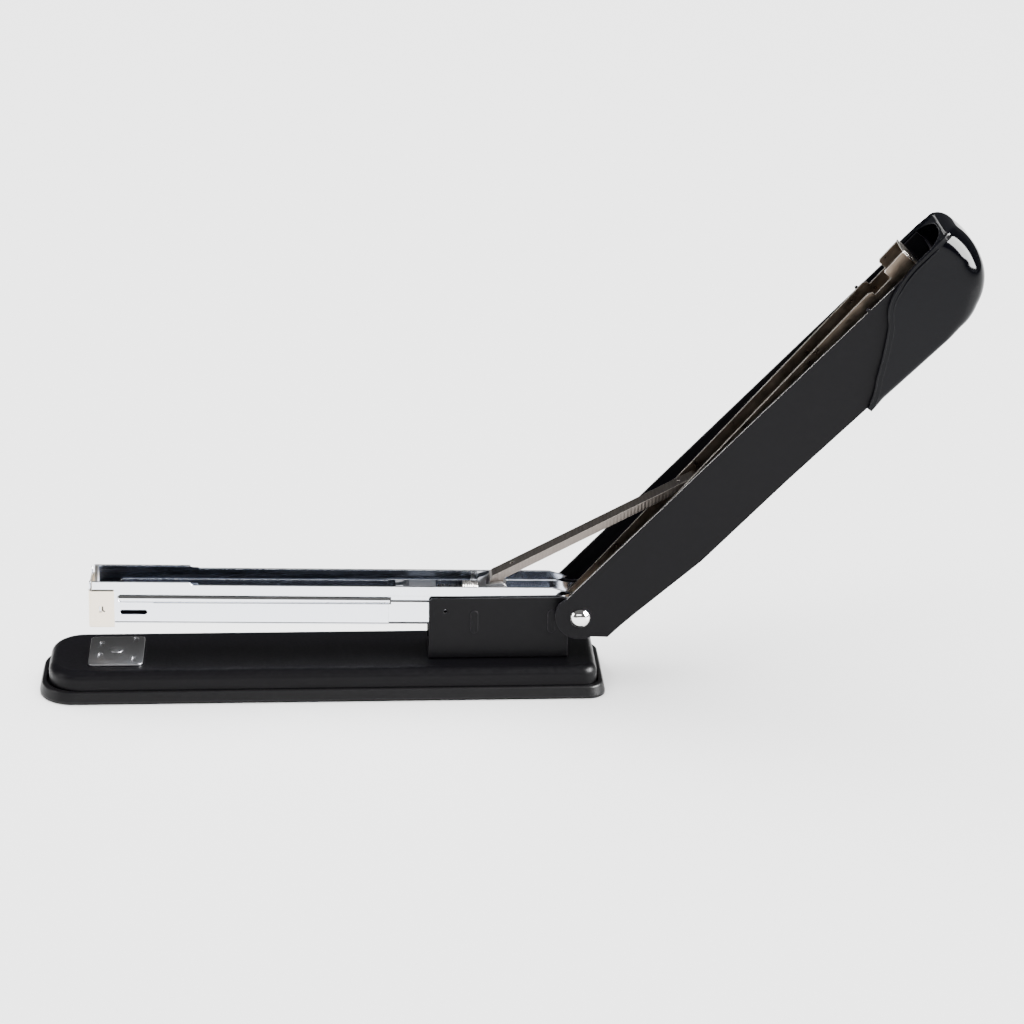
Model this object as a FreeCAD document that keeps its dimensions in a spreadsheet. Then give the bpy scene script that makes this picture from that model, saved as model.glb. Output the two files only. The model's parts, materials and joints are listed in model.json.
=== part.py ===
# Desktop stapler with a lift-up handle: base, magazine, follower linkage, handle and driver.
# Frame: +X to the hinge end, -X to the stapling end, +Z up, origin under the middle of the base.
import FreeCAD, Part
import Sketcher
import math
import os

Vec = FreeCAD.Vector
doc = FreeCAD.newDocument("stapler")
sheet = doc.addObject("Spreadsheet::Sheet", "dims")
ROWS = [
    ("base_length", 200.0), ("base_width", 39.4), ("pad_height", 4.6), ("pad_flare", 0.9),
    ("plate_front", 97.0), ("plate_width", 35.4), ("plate_top", 11.24), ("sheet_gauge", 1.0), ("plate_edge_round", 3.0),
    ("pivot_x", 90.6), ("pivot_z", 28.2), ("pin_radius", 2.5), ("pin_fit", 0.05), ("pin_head_radius", 3.5), ("pin_half", 12.8), ("pin_dome", 1.7),
    ("bracket_width", 18.0), ("bracket_inner", 16.2), ("bracket_front", 37.4), ("bracket_rear", 86.7), ("bracket_top", 34.6),
    ("mag_tilt", 1.05), ("mag_front", 171.1), ("mag_width", 15.6), ("mag_inner", 14.0), ("mag_tail_width", 14.8), ("mag_tail_inner", 13.2),
    ("mag_floor", 4.9), ("mag_top", 9.6), ("mag_lift", 10.65), ("mag_gauge", 0.8), ("rail_width", 10.0), ("rail_top", 2.1),
    ("nose_width", 16.8), ("nose_inner", 15.7), ("nose_back", 163.4),
    ("handle_angle", 46.5), ("handle_width", 25.4), ("handle_inner", 23.4), ("cap_width", 27.8), ("cap_inner", 25.5), ("cap_round", 3.2),
    ("ram_lean", 2.75), ("ram_width", 12.3), ("ram_inner", 10.9), ("blade_gauge", 0.6), ("blade_out", 171.2),
    ("link_width", 6.4), ("link_gauge", 0.8), ("lower_x", 29.5), ("lower_z", 7.2), ("upper_u", 56.0), ("upper_v", 1.0),
    ("anvil_x", 73.0), ("anvil_length", 19.2), ("anvil_width", 23.4), ("anvil_gauge", 0.7), ("stem_radius", 2.0),
    ("wire", 0.45), ("coil_radius", 2.1), ("rod_radius", 1.1),
]
for i, (alias, value) in enumerate(ROWS, 1):
    sheet.set("A%d" % i, alias)
    sheet.set("B%d" % i, str(value))
    sheet.setAlias("B%d" % i, alias)
doc.recompute()
V = dict(ROWS)
P = Vec(V["pivot_x"], 0, V["pivot_z"])


class Q:
    """A number together with the sheet expression that gives it."""

    def __init__(self, v, e):
        self.v, self.e = v, e

    def __add__(self, o):
        o = asq(o)
        return Q(self.v + o.v, "(%s + %s)" % (self.e, o.e))

    def __sub__(self, o):
        o = asq(o)
        return Q(self.v - o.v, "(%s - %s)" % (self.e, o.e))

    def __mul__(self, o):
        o = asq(o)
        return Q(self.v * o.v, "(%s * %s)" % (self.e, o.e))

    def __neg__(self):
        return Q(-self.v, "(0 - %s)" % self.e)


def asq(o):
    return o if isinstance(o, Q) else Q(float(o), "(%r)" % float(o))


def D(alias):
    return Q(V[alias], "dims." + alias)


def num(o):
    return o.v if isinstance(o, Q) else float(o)


def body(label, placement=None):
    b = doc.addObject("PartDesign::Body", label)
    b.Label = label
    b.Placement = placement or FreeCAD.Placement()
    return b


def sketch(b, role, name, offset=0.0):
    s = b.newObject("Sketcher::SketchObject", b.Label + "_" + name)
    base = [f for f in b.Origin.OriginFeatures if f.Role == role][0]
    s.AttachmentSupport = [(base, "")]
    s.MapMode = "FlatFace"
    s.AttachmentOffset = FreeCAD.Placement(Vec(0, 0, num(offset)), FreeCAD.Rotation())
    if isinstance(offset, Q):
        s.setExpression(".AttachmentOffset.Base.z", offset.e)
    return s


def poly(s, pts):
    """Closed polygon whose corners are held by distances from the origin."""
    n = len(pts)
    xy = [(num(a), num(b)) for a, b in pts]
    first = s.GeometryCount
    for k in range(n):
        a, b = xy[k], xy[(k + 1) % n]
        s.addGeometry(Part.LineSegment(Vec(a[0], a[1], 0), Vec(b[0], b[1], 0)), False)
    for k in range(n):
        s.addConstraint(Sketcher.Constraint("Coincident", first + k, 2, first + (k + 1) % n, 1))
    for k, (px, py) in enumerate(pts):
        for kind, val, axis in (("DistanceX", px, -2), ("DistanceY", py, -1)):
            if abs(num(val)) < 1e-9:
                s.addConstraint(Sketcher.Constraint("PointOnObject", first + k, 1, axis))
                continue
            c = s.addConstraint(Sketcher.Constraint(kind, -1, 1, first + k, 1, num(val)))
            if isinstance(val, Q):
                name = "c%d_%d" % (first + k, c)
                s.renameConstraint(c, name)
                s.setExpression(".Constraints." + name, val.e)
    return s


def rect(s, x0, y0, x1, y1):
    return poly(s, [(x0, y0), (x1, y0), (x1, y1), (x0, y1)])


def circle(s, x, y, r):
    g = s.addGeometry(Part.Circle(Vec(num(x), num(y), 0), Vec(0, 0, 1), num(r)), False)
    c = s.addConstraint(Sketcher.Constraint("Radius", g, num(r)))
    if isinstance(r, Q):
        s.renameConstraint(c, "r%d" % g)
        s.setExpression(".Constraints.r%d" % g, r.e)
    for kind, val, axis in (("DistanceX", x, -2), ("DistanceY", y, -1)):
        if abs(num(val)) < 1e-9:
            s.addConstraint(Sketcher.Constraint("PointOnObject", g, 3, axis))
        else:
            c = s.addConstraint(Sketcher.Constraint(kind, -1, 1, g, 3, num(val)))
            if isinstance(val, Q):
                s.renameConstraint(c, "k%d_%d" % (g, c))
                s.setExpression(".Constraints.k%d_%d" % (g, c), val.e)
    return s


def path(s, pts):
    """Closed outline of lines and arcs: (x, y) is a line to there, (x, y, mx, my) an arc through m."""
    prev = pts[-1]
    for p in pts:
        a = Vec(num(prev[0]), num(prev[1]), 0)
        b = Vec(num(p[0]), num(p[1]), 0)
        if len(p) == 4:
            g = Part.Arc(a, Vec(num(p[2]), num(p[3]), 0), b)
        else:
            g = Part.LineSegment(a, b)
        k = s.addGeometry(g, False)
        s.addConstraint(Sketcher.Constraint("Block", k))
        prev = p
    return s


def slot(s, x0, y0, x1, y1, r):
    dx, dy = x1 - x0, y1 - y0
    ln = math.hypot(dx, dy)
    ux, uy = dx / ln, dy / ln
    nx, ny = -uy * r, ux * r
    return path(s, [(x0 + nx, y0 + ny, x0 - ux * r, y0 - uy * r), (x1 + nx, y1 + ny),
                    (x1 - nx, y1 - ny, x1 + ux * r, y1 + uy * r), (x0 - nx, y0 - ny)])


def rounded(s, x0, y0, x1, y1, r0, r1=None, bow=0.0):
    """Rectangle with radius r0 at the low-x corners and r1 at the high-x corners; bow swells the low-x side."""
    r1 = r0 if r1 is None else r1
    k = 1 - math.sqrt(0.5)
    mid = (y0 + y1) / 2
    low = (x0, y1 - r0, x0 - bow, mid) if bow else (x0, y1 - r0)
    return path(s, [low, (x0 + r0, y1, x0 + r0 * k, y1 - r0 * k), (x1 - r1, y1), (x1, y1 - r1, x1 - r1 * k, y1 - r1 * k),
                    (x1, y0 + r1), (x1 - r1, y0, x1 - r1 * k, y0 + r1 * k), (x0 + r0, y0), (x0, y0 + r0, x0 + r0 * k, y0 + r0 * k)])


def feature(b, kind, s, length, sym, rev, through=False):
    f = b.newObject("PartDesign::" + kind, s.Name + "_" + kind)
    f.Profile = s
    if through:
        f.Type = "ThroughAll"
    else:
        f.Length = num(length)
        if isinstance(length, Q):
            f.setExpression("Length", length.e)
    if sym:
        if hasattr(f, "SideType"):
            f.SideType = "Symmetric"
        else:
            f.Midplane = True
    f.Reversed = rev
    s.Visibility = False
    doc.recompute()
    if "Invalid" in f.State or f.Shape.isNull():
        raise RuntimeError("feature failed: " + f.Name)
    return f


def pad(b, s, length, sym=True, rev=False):
    return feature(b, "Pad", s, length, sym, rev)


def pocket(b, s, length=None, sym=True, rev=False):
    was = b.Shape.Volume
    f = feature(b, "Pocket", s, length, sym, rev, through=length is None)
    if f.Shape.Volume > was - 1e-4:
        raise RuntimeError("pocket removed nothing: %s %s %s" % (f.Name, was, f.Shape.Volume))
    return f


def fillet(b, test, r, parts=(1.0, 0.75, 0.5, 0.35)):
    """Rounds the chosen edges, at the radius asked for or the largest share of it that the shape takes."""
    tip = b.Tip
    names = ["Edge%d" % (i + 1) for i, e in enumerate(tip.Shape.Edges) if test(e)]
    if not names:
        raise RuntimeError("no edge to round on " + b.Label)
    f = b.newObject("PartDesign::Fillet", b.Label + "_round")
    f.Base = (tip, names)
    for part in parts:
        f.Radius = num(r) * part
        if isinstance(r, Q):
            f.setExpression("Radius", (r * part).e)
        doc.recompute()
        if "Invalid" not in f.State and not f.Shape.isNull() and f.Shape.isValid():
            return f
    b.removeObject(f)
    doc.removeObject(f.Name)
    b.Tip = tip
    doc.recompute()
    print("rounding left off:", b.Label, num(r), len(names))
    return None


def revolve(b, s, axis="V_Axis", kind="Revolution"):
    f = b.newObject("PartDesign::" + kind, s.Name + "_rev")
    f.Profile = s
    f.ReferenceAxis = (s, [axis])
    f.Angle = 360.0
    doc.recompute()
    if "Invalid" in f.State or f.Shape.isNull():
        raise RuntimeError("revolution failed: " + f.Name)
    return f


def mid(e):
    return e.valueAt((e.FirstParameter + e.LastParameter) / 2)


NODES = []


def done(b):
    NODES.append(b)
    return b


def at(x, y, z, angle=0.0):
    """Placement at a point, turned about +Y by a number of degrees."""
    return FreeCAD.Placement(Vec(x, y, z), FreeCAD.Rotation(Vec(0, 1, 0), angle))


def tilted(label, angle, expression=None):
    """A body whose origin is on the main pivot, turned about it."""
    b = body(label, at(P.x, 0, P.z, angle))
    b.setExpression(".Placement.Base.x", "dims.pivot_x")
    b.setExpression(".Placement.Base.z", "dims.pivot_z")
    return b


half = D("base_length") * 0.5
TILT = V["mag_tilt"]

# ---------------------------------------------------------------- base pad
b = body("base_pad")
lo = sketch(b, "XY_Plane", "foot")
rounded(lo, -100.0, -19.1, 100.0, 19.1, 12.5, 6.0, 0.0)
hi1 = sketch(b, "XY_Plane", "skirt", 1.1)
rounded(hi1, -100.0, -19.7, 100.0, 19.7, 13.0, 6.4, 0.0)
hi2 = sketch(b, "XY_Plane", "rim", D("pad_height"))
rounded(hi2, -99.1, -18.8, 99.1, 18.8, 12.4, 5.8, 0.0)
for nm, s0, s1 in (("low", lo, hi1), ("high", hi1, hi2)):
    f = b.newObject("PartDesign::AdditiveLoft", "base_pad_" + nm)
    f.Profile = s0
    f.Sections = [s1]
    doc.recompute()
fillet(b, lambda e: abs(e.BoundBox.ZMin - V["pad_height"]) < 1e-3 and e.BoundBox.ZLength < 1e-3, 0.9)
s = sketch(b, "XY_Plane", "tray", 1.6)
rounded(s, -97.6, -17.95, 97.6, 17.95, 12.0, 5.6, 0.0)
pocket(b, s, 8.0, sym=False, rev=True)
s = sketch(b, "XY_Plane", "finger_hole")
circle(s, -D("anvil_x"), 0, 8.5)
pocket(b, s, None, sym=True)
s = sketch(b, "XY_Plane", "screw_holes")
for x in (-40.0, 10.0, 80.0):
    for y in (-11.0, 11.0):
        circle(s, x, y, 1.6)
pocket(b, s, None, sym=True)
s = sketch(b, "XY_Plane", "screw_seats")
for x in (-40.0, 10.0, 80.0):
    for y in (-11.0, 11.0):
        circle(s, x, y, 3.1)
pocket(b, s, 0.9, sym=False, rev=True)
done(b)

b = body("pad_screws")
s = sketch(b, "XY_Plane", "shank", 0.85)
for x in (-40.0, 10.0, 80.0):
    for y in (-11.0, 11.0):
        circle(s, x, y, 1.5)
f = None
b.AllowCompound = True
pad(b, s, 9.3, sym=False)
s = sketch(b, "XY_Plane", "head", 0.1)
for x in (-40.0, 10.0, 80.0):
    for y in (-11.0, 11.0):
        circle(s, x, y, 2.8)
pad(b, s, 0.76, sym=False)
done(b)

# ---------------------------------------------------------------- base plate
b = body("base_plate")
s = sketch(b, "XY_Plane", "outline", 1.7)
rounded(s, -96.6, -17.7, 96.9, 17.7, 11.6, 5.2, 0.0)
pad(b, s, 9.54, sym=False)
fillet(b, lambda e: abs(e.BoundBox.ZMin - V["plate_top"]) < 1e-3 and e.BoundBox.ZLength < 1e-3, D("plate_edge_round"))
s = sketch(b, "XY_Plane", "hollow", 1.7)
rounded(s, -95.6, -16.7, 95.9, 16.7, 10.6, 4.2, 0.0)
pocket(b, s, 7.1, sym=False, rev=True)
s = sketch(b, "XY_Plane", "crown", 8.0)
rounded(s, -94.2, -15.3, 94.5, 15.3, 9.2, 3.0, 0.0)
pocket(b, s, 2.24, sym=False, rev=True)
s = sketch(b, "XY_Plane", "stem_hole", 5.0)
circle(s, -D("anvil_x"), 0, D("stem_radius") + 0.06)
pocket(b, s, 8.0, sym=False, rev=True)
s = sketch(b, "XY_Plane", "rivet_holes", 5.0)
circle(s, 48.0, 0, 1.5)
circle(s, 78.0, 0, 1.5)
pocket(b, s, 8.0, sym=False, rev=True)
s = sketch(b, "XY_Plane", "anvil_seat", 11.14)
rounded(s, -83.1, -12.2, -62.9, 12.2, 2.4)
pocket(b, s, 1.0, sym=False, rev=True)
done(b)

# ---------------------------------------------------------------- anvil
b = body("anvil_plate")
s = sketch(b, "XY_Plane", "outline", 11.30)
rounded(s, -82.6, -11.7, -63.4, 11.7, 2.0)
pad(b, s, D("anvil_gauge"), sym=False)
fillet(b, lambda e: abs(e.BoundBox.ZMin - 12.0) < 1e-3 and e.BoundBox.ZLength < 1e-3, 0.25)
s = sketch(b, "XY_Plane", "clinch", 11.55)
for x, y in ((-78.6, -4.75), (-78.6, 4.75), (-66.6, -8.25), (-66.6, 8.25)):
    slot(s, x, y - 1.5, x, y + 1.5, 0.95)
pocket(b, s, 2.0, sym=False, rev=True)
s = sketch(b, "XY_Plane", "bore", 11.0)
circle(s, -D("anvil_x"), 0, D("stem_radius") + 0.05)
pocket(b, s, 3.0, sym=False, rev=True)
done(b)

b = body("anvil_stem", at(-V["anvil_x"], 0, 0))
b.setExpression(".Placement.Base.x", "0 - dims.anvil_x")
s = sketch(b, "XZ_Plane", "section")
path(s, [(6.6, 1.0), (7.0, 1.5, 6.88, 1.12), (7.0, 2.2), (2.0, 2.6), (2.0, 12.06), (2.5, 12.06), (1.5, 12.55, 2.2, 12.45), (0.4, 12.7, 1.0, 12.67), (0, 12.7), (0, 1.0)])
revolve(b, s)
done(b)

b = body("anvil_spring", at(-V["anvil_x"], 0, 0))
b.setExpression(".Placement.Base.x", "0 - dims.anvil_x")
s = sketch(b, "XZ_Plane", "wire")
circle(s, 3.4, 3.2, 0.35)
f = b.newObject("PartDesign::AdditiveHelix", "anvil_spring_helix")
f.Profile = s
f.ReferenceAxis = (s, ["V_Axis"])
f.Mode = 0
f.Pitch = 1.3
f.Height = 6.4
f.Angle = 0
doc.recompute()
done(b)

# ---------------------------------------------------------------- bracket and main pin
b = body("bracket")
s = sketch(b, "XZ_Plane", "side")
path(s, [(38.4, 34.6), (37.4, 33.6), (37.4, 11.3), (86.7, 11.3), (86.7, 21.2), (88.2, 23.4, 87.2, 22.7),
         (90.6, 22.9, 89.4, 23.0), (90.6, 33.5, 95.9, 28.2), (84.0, 34.6, 87.2, 33.9)])
pad(b, s, D("bracket_width"))
s = sketch(b, "XZ_Plane", "channel")
rect(s, 30.0, 12.3, 99.0, 40.0)
pocket(b, s, D("bracket_inner"))
s = sketch(b, "XZ_Plane", "pin_hole")
circle(s, D("pivot_x"), D("pivot_z"), D("pin_radius") + D("pin_fit"))
pocket(b, s)
s = sketch(b, "XZ_Plane", "dimple_hole")
circle(s, 43.2, 29.7, 0.75)
pocket(b, s)
for nm, off, rev in (("near", 9.0, False), ("far", -9.0, True)):
    s = sketch(b, "XZ_Plane", "ribs_" + nm, off)
    slot(s, 53.4, 22.6, 53.4, 28.6, 1.3)
    slot(s, 80.7, 22.6, 80.7, 28.6, 1.3)
    pad(b, s, 0.35, sym=False, rev=rev)
s = sketch(b, "XY_Plane", "rivet_holes", 11.0)
circle(s, 48.0, 0, 1.5)
circle(s, 78.0, 0, 1.5)
pocket(b, s, 3.0, sym=False, rev=True)
fillet(b, lambda e: e.BoundBox.XLength > 40 and abs(mid(e).z - 11.3) < 1e-3 and abs(abs(mid(e).y) - 9.0) < 1e-3, 0.7)
done(b)

b = body("bracket_rivets")
b.AllowCompound = True
s = sketch(b, "XY_Plane", "shank", 9.6)
circle(s, 48.0, 0, 1.45)
circle(s, 78.0, 0, 1.45)
pad(b, s, 3.2, sym=False)
s = sketch(b, "XY_Plane", "heads_top", 12.36)
circle(s, 48.0, 0, 2.7)
circle(s, 78.0, 0, 2.7)
pad(b, s, 1.0, sym=False)
s = sketch(b, "XY_Plane", "heads_low", 9.3)
circle(s, 48.0, 0, 2.5)
circle(s, 78.0, 0, 2.5)
pad(b, s, 0.88, sym=False)
fillet(b, lambda e: abs(e.BoundBox.ZMin - 13.36) < 1e-3 and e.BoundBox.ZLength < 1e-3, 0.6)
done(b)

b = body("lift_spring")
s = sketch(b, "XZ_Plane", "leaf")
path(s, [(75.0, 12.36), (75.0, 12.86), (66.0, 12.86), (50.0, 17.6, 58.0, 14.2), (43.0, 23.2), (41.0, 23.6, 41.9, 23.75), (40.0, 22.9),
         (40.4, 22.6), (41.2, 23.1), (42.6, 22.8), (49.6, 17.3), (66.0, 12.36, 57.8, 13.8)])
pad(b, s, 8.0)
done(b)

b = body("hinge_pin", at(P.x, 0, P.z))
b.setExpression(".Placement.Base.x", "dims.pivot_x")
b.setExpression(".Placement.Base.z", "dims.pivot_z")
s = sketch(b, "XY_Plane", "section")
h = V["pin_half"]
path(s, [(0, -h - 1.9), (0.4, -h - 1.9), (3.5, -h - 0.35, 2.3, -h - 1.45), (3.5, -h), (2.5, -h), (2.5, h), (3.5, h), (3.5, h + 0.35), (0.4, h + 1.9, 2.3, h + 1.45), (0, h + 1.9)])
revolve(b, s)
done(b)

b = body("pin_washers", at(P.x, 0, P.z))
b.setExpression(".Placement.Base.x", "dims.pivot_x")
b.setExpression(".Placement.Base.z", "dims.pivot_z")
b.AllowCompound = True
for nm, off, rev in (("near", 9.1, False), ("far", -9.1, True)):
    s = sketch(b, "XZ_Plane", nm, off)
    circle(s, 0, 0, 4.3)
    circle(s, 0, 0, 2.56)
    pad(b, s, 2.5, sym=False, rev=rev)
done(b)

# ---------------------------------------------------------------- magazine
F = V["mag_front"]
b = tilted("magazine_channel", TILT)
b.setExpression(".Placement.Rotation.Angle", "dims.mag_tilt")
s = sketch(b, "XZ_Plane", "front_wall")
poly(s, [(-D("mag_front"), -D("mag_floor")), (-67.4, -D("mag_floor")), (-67.4, 6.0), (-7.6, 6.0), (-3.4, 7.5), (-10.0, 9.45),
         (-136.2, D("mag_top")), (-137.2, D("mag_lift")), (-D("mag_front"), D("mag_lift"))])
pad(b, s, D("mag_width"))
s = sketch(b, "XZ_Plane", "tail")
path(s, [(-67.5, 6.1), (-67.5, -4.9), (0, -4.9), (0, 4.9, 4.9, 0), (-7.6, 6.1)])
pad(b, s, D("mag_tail_width"))
s = sketch(b, "XZ_Plane", "inside")
rect(s, -D("mag_front") - 3.0, D("mag_gauge") - D("mag_floor"), -67.4, 14.0)
pocket(b, s, D("mag_inner"))
s = sketch(b, "XZ_Plane", "upper_inside")
rect(s, -68.0, 6.0, 8.0, 14.0)
pocket(b, s, D("mag_inner"))
s = sketch(b, "XZ_Plane", "tail_inside")
rect(s, -68.0, D("mag_gauge") - D("mag_floor"), 8.0, 7.0)
pocket(b, s, D("mag_tail_inner"))
s = sketch(b, "XZ_Plane", "tail_floor_gap")
rect(s, -8.0, -6.0, 8.0, 0.0)
pocket(b, s, D("mag_tail_inner"))
s = sketch(b, "XZ_Plane", "nose_gap")
rect(s, -F - 3.0, -6.0, -169.8, 0.0)
pocket(b, s, D("mag_inner"))
for nm, off, rev in (("near", 7.8, False), ("far", -7.8, True)):
    s = sketch(b, "XZ_Plane", "groove_" + nm, off)
    path(s, [(-160.8, 6.0), (-160.8, 3.0, -162.3, 4.5), (-67.4, 3.0), (-67.4, 6.0)])
    pocket(b, s, 0.5, sym=False, rev=rev)
for nm, off, rev in (("near", 6.99, True), ("far", -6.99, False)):
    s = sketch(b, "XZ_Plane", "bead_" + nm, off)
    path(s, [(-160.8, 5.7), (-160.8, 3.3, -162.0, 4.5), (-67.4, 3.3), (-67.4, 5.7)])
    pad(b, s, 0.45, sym=False, rev=rev)
    f = b.Tip
s = sketch(b, "XZ_Plane", "slots")
slot(s, -160.6, -0.75, -152.8, -0.75, 0.85)
pocket(b, s)
s = sketch(b, "XZ_Plane", "pin_hole")
circle(s, 0, 0, D("pin_radius") + D("pin_fit"))
pocket(b, s)
s = sketch(b, "XY_Plane", "rail_holes", -6.0)
for x in (-150.0, -110.0, -60.0):
    circle(s, x, 0, 1.25)
pocket(b, s, 3.0, sym=False, rev=True)
done(b)

b = tilted("staple_rail", TILT)
s = sketch(b, "XZ_Plane", "side")
poly(s, [(-169.8, -4.05), (-50.0, -4.05), (-50.0, 1.1), (-51.0, D("rail_top")), (-169.3, D("rail_top")), (-169.8, 1.6)])
pad(b, s, D("rail_width"))
s = sketch(b, "YZ_Plane", "hollow")
rect(s, -4.2, -3.25, 4.2, 1.3)
pocket(b, s)
s = sketch(b, "XY_Plane", "foot_holes", -6.0)
for x in (-150.0, -110.0, -60.0):
    circle(s, x, 0, 1.25)
pocket(b, s, 2.9, sym=False, rev=True)
fillet(b, lambda e: e.BoundBox.XLength > 100 and abs(abs(mid(e).y) - 5.0) < 1e-3 and abs(mid(e).z - 2.1) < 0.02, 0.6)
done(b)

b = tilted("rail_rivets", TILT)
b.AllowCompound = True
for nm, off, r, ln in (("shank", -5.2, 1.2, 2.4), ("head_in", -3.2, 2.0, 0.7), ("head_out", -5.5, 2.1, 0.55)):
    s = sketch(b, "XY_Plane", nm, off)
    for x in (-150.0, -110.0, -60.0):
        circle(s, x, 0, r)
    pad(b, s, ln, sym=False)
done(b)

b = tilted("nose_plate", TILT)
s = sketch(b, "XY_Plane", "wrap", -6.3)
path(s, [(-163.4, 8.4), (-171.1, 8.4), (-172.3, 7.2, -171.95, 8.05), (-172.3, -7.2), (-171.1, -8.4, -171.95, -8.05), (-163.4, -8.4),
         (-163.4, -7.86), (-171.0, -7.86), (-171.72, -7.1, -171.5, -7.6), (-171.72, 7.1), (-171.0, 7.86, -171.5, 7.6), (-163.4, 7.86)])
pad(b, s, 13.7, sym=False)
s = sketch(b, "XZ_Plane", "mark")
poly(s, [(-168.7, 1.6), (-168.3, 1.6), (-168.1, 0.1), (-167.6, -0.3), (-168.0, -0.8), (-168.6, -0.6)])
pocket(b, s)
done(b)

# ---------------------------------------------------------------- follower: rod, pusher, spring and carriage
b = tilted("pusher", TILT)
s = sketch(b, "XZ_Plane", "side")
poly(s, [(-64.6, -3.6), (-50.6, -3.6), (-50.6, 6.6), (-60.0, 6.6), (-62.2, 4.6), (-64.6, 4.2)])
pad(b, s, 12.2)
s = sketch(b, "XZ_Plane", "saddle")
rect(s, -70.0, -5.0, -45.0, D("rail_top") + 0.25)
pocket(b, s, 10.6)
s2 = sketch(b, "YZ_Plane", "shoulders", -70.0)
for k in (-1, 1):
    rect(s2, k * 5.1, 2.9, k * 7.0, 9.0)
pocket(b, s2, 30.0, sym=False, rev=True)
s = sketch(b, "YZ_Plane", "bore", -45.0)
circle(s, 0, 4.95, D("rod_radius") + D("pin_fit"))
pocket(b, s, 14.0, sym=False, rev=False)
done(b)

b = tilted("spring_rod", TILT)
s = sketch(b, "YZ_Plane", "round", -58.9)
circle(s, 0, 4.95, D("rod_radius"))
pad(b, s, 26.3, sym=False)
done(b)

b = body("pusher_spring", at(P.x, 0, P.z, TILT).multiply(at(-50.2, 0, 4.95)))
s = sketch(b, "XY_Plane", "wire")
circle(s, 0.25, D("coil_radius"), D("wire") * 0.5)
f = b.newObject("PartDesign::AdditiveHelix", "pusher_spring_helix")
f.Profile = s
f.ReferenceAxis = (s, ["H_Axis"])
f.Mode = 0
f.Pitch = 1.0
f.Height = 13.8
f.Angle = 0
doc.recompute()
done(b)

b = tilted("link_carriage", TILT)
s = sketch(b, "XZ_Plane", "side")
path(s, [(-35.6, 2.5), (-25.5, 2.5), (-25.5, 7.0), (-29.5, 9.9, -26.3, 9.2), (-33.2, 8.4, -31.6, 9.5), (-35.6, 7.4)])
pad(b, s, 10.2)
s = sketch(b, "XZ_Plane", "fork")
rect(s, -33.0, 3.6, -20.0, 12.0)
pocket(b, s, D("link_width") + 0.7)
s = sketch(b, "XZ_Plane", "pin_hole")
circle(s, -D("lower_x"), D("lower_z"), 1.25)
pocket(b, s)
s = sketch(b, "YZ_Plane", "rod_hole", -31.0)
circle(s, 0, 4.95, D("rod_radius") + D("pin_fit"))
pocket(b, s, 6.0, sym=False, rev=False)
done(b)

b = tilted("link_pin_lower", TILT)
s = sketch(b, "XZ_Plane", "round")
circle(s, -D("lower_x"), D("lower_z"), 1.2)
pad(b, s, 10.2)
done(b)

# ---------------------------------------------------------------- link from the carriage to the handle
def turned(x, z, angle):
    """A point given along and across a direction turned about +Y, in the fixed frame, from the main pivot."""
    a = math.radians(angle)
    return x * math.cos(a) + z * math.sin(a), -x * math.sin(a) + z * math.cos(a)


lx, lz = turned(-V["lower_x"], V["lower_z"], TILT)
ux, uz = turned(V["upper_u"], -V["upper_v"], -V["handle_angle"])
LINK = math.hypot(ux - lx, uz - lz)
LINK_ANGLE = math.degrees(math.atan2(uz - lz, ux - lx))
print("link length", round(LINK, 3), "angle", round(LINK_ANGLE, 3), "lower", round(P.x + lx, 3), round(P.z + lz, 3), "upper", round(P.x + ux, 3), round(P.z + uz, 3))
LINK_PLACE = at(P.x + lx, 0, P.z + lz, -LINK_ANGLE)

b = body("link_bar", LINK_PLACE)
s = sketch(b, "XZ_Plane", "side")
L = LINK
path(s, [(-2.0, 0), (2.0, 0, 0, -2.0), (4.4, 2.3), (72.0, 5.5), (L - 2.0, 0), (L + 2.0, 0, L, -2.0), (80.9, 6.6), (79.2, 8.5, 80.5, 8.1),
         (2.4, 4.9), (-0.7, 3.6, 0.4, 4.6)])
pad(b, s, D("link_width"))
s = sketch(b, "XZ_Plane", "channel")
poly(s, [(-5.0, -5.0), (84.0, -5.0), (84.0, 6.2), (78.6, 7.65), (3.0, 4.12), (0.4, 3.1), (-5.0, -1.0)])
pocket(b, s, D("link_width") - D("link_gauge") * 2)
s = sketch(b, "XZ_Plane", "pin_holes")
circle(s, 0, 0, 1.25)
circle(s, L, 0, 1.25)
pocket(b, s)
s = sketch(b, "XY_Plane", "web_holes", 12.0)
circle(s, 8.8, 0, 0.75)
circle(s, 74.1, 0, 0.75)
pocket(b, s, 14.0, sym=False, rev=False)
done(b)

b = body("link_pin_upper", LINK_PLACE)
s = sketch(b, "XZ_Plane", "round")
circle(s, L, 0, 1.2)
pad(b, s, 6.9)
done(b)

# ---------------------------------------------------------------- handle
HANG = -V["handle_angle"]
DU, DV = 0.6, 0.42


def moved(pts):
    """An outline of the handle, moved so that its edges sit right for the width of the channel."""
    return [tuple(v + (DU, DV)[i % 2] for i, v in enumerate(p)) for p in pts]



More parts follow.
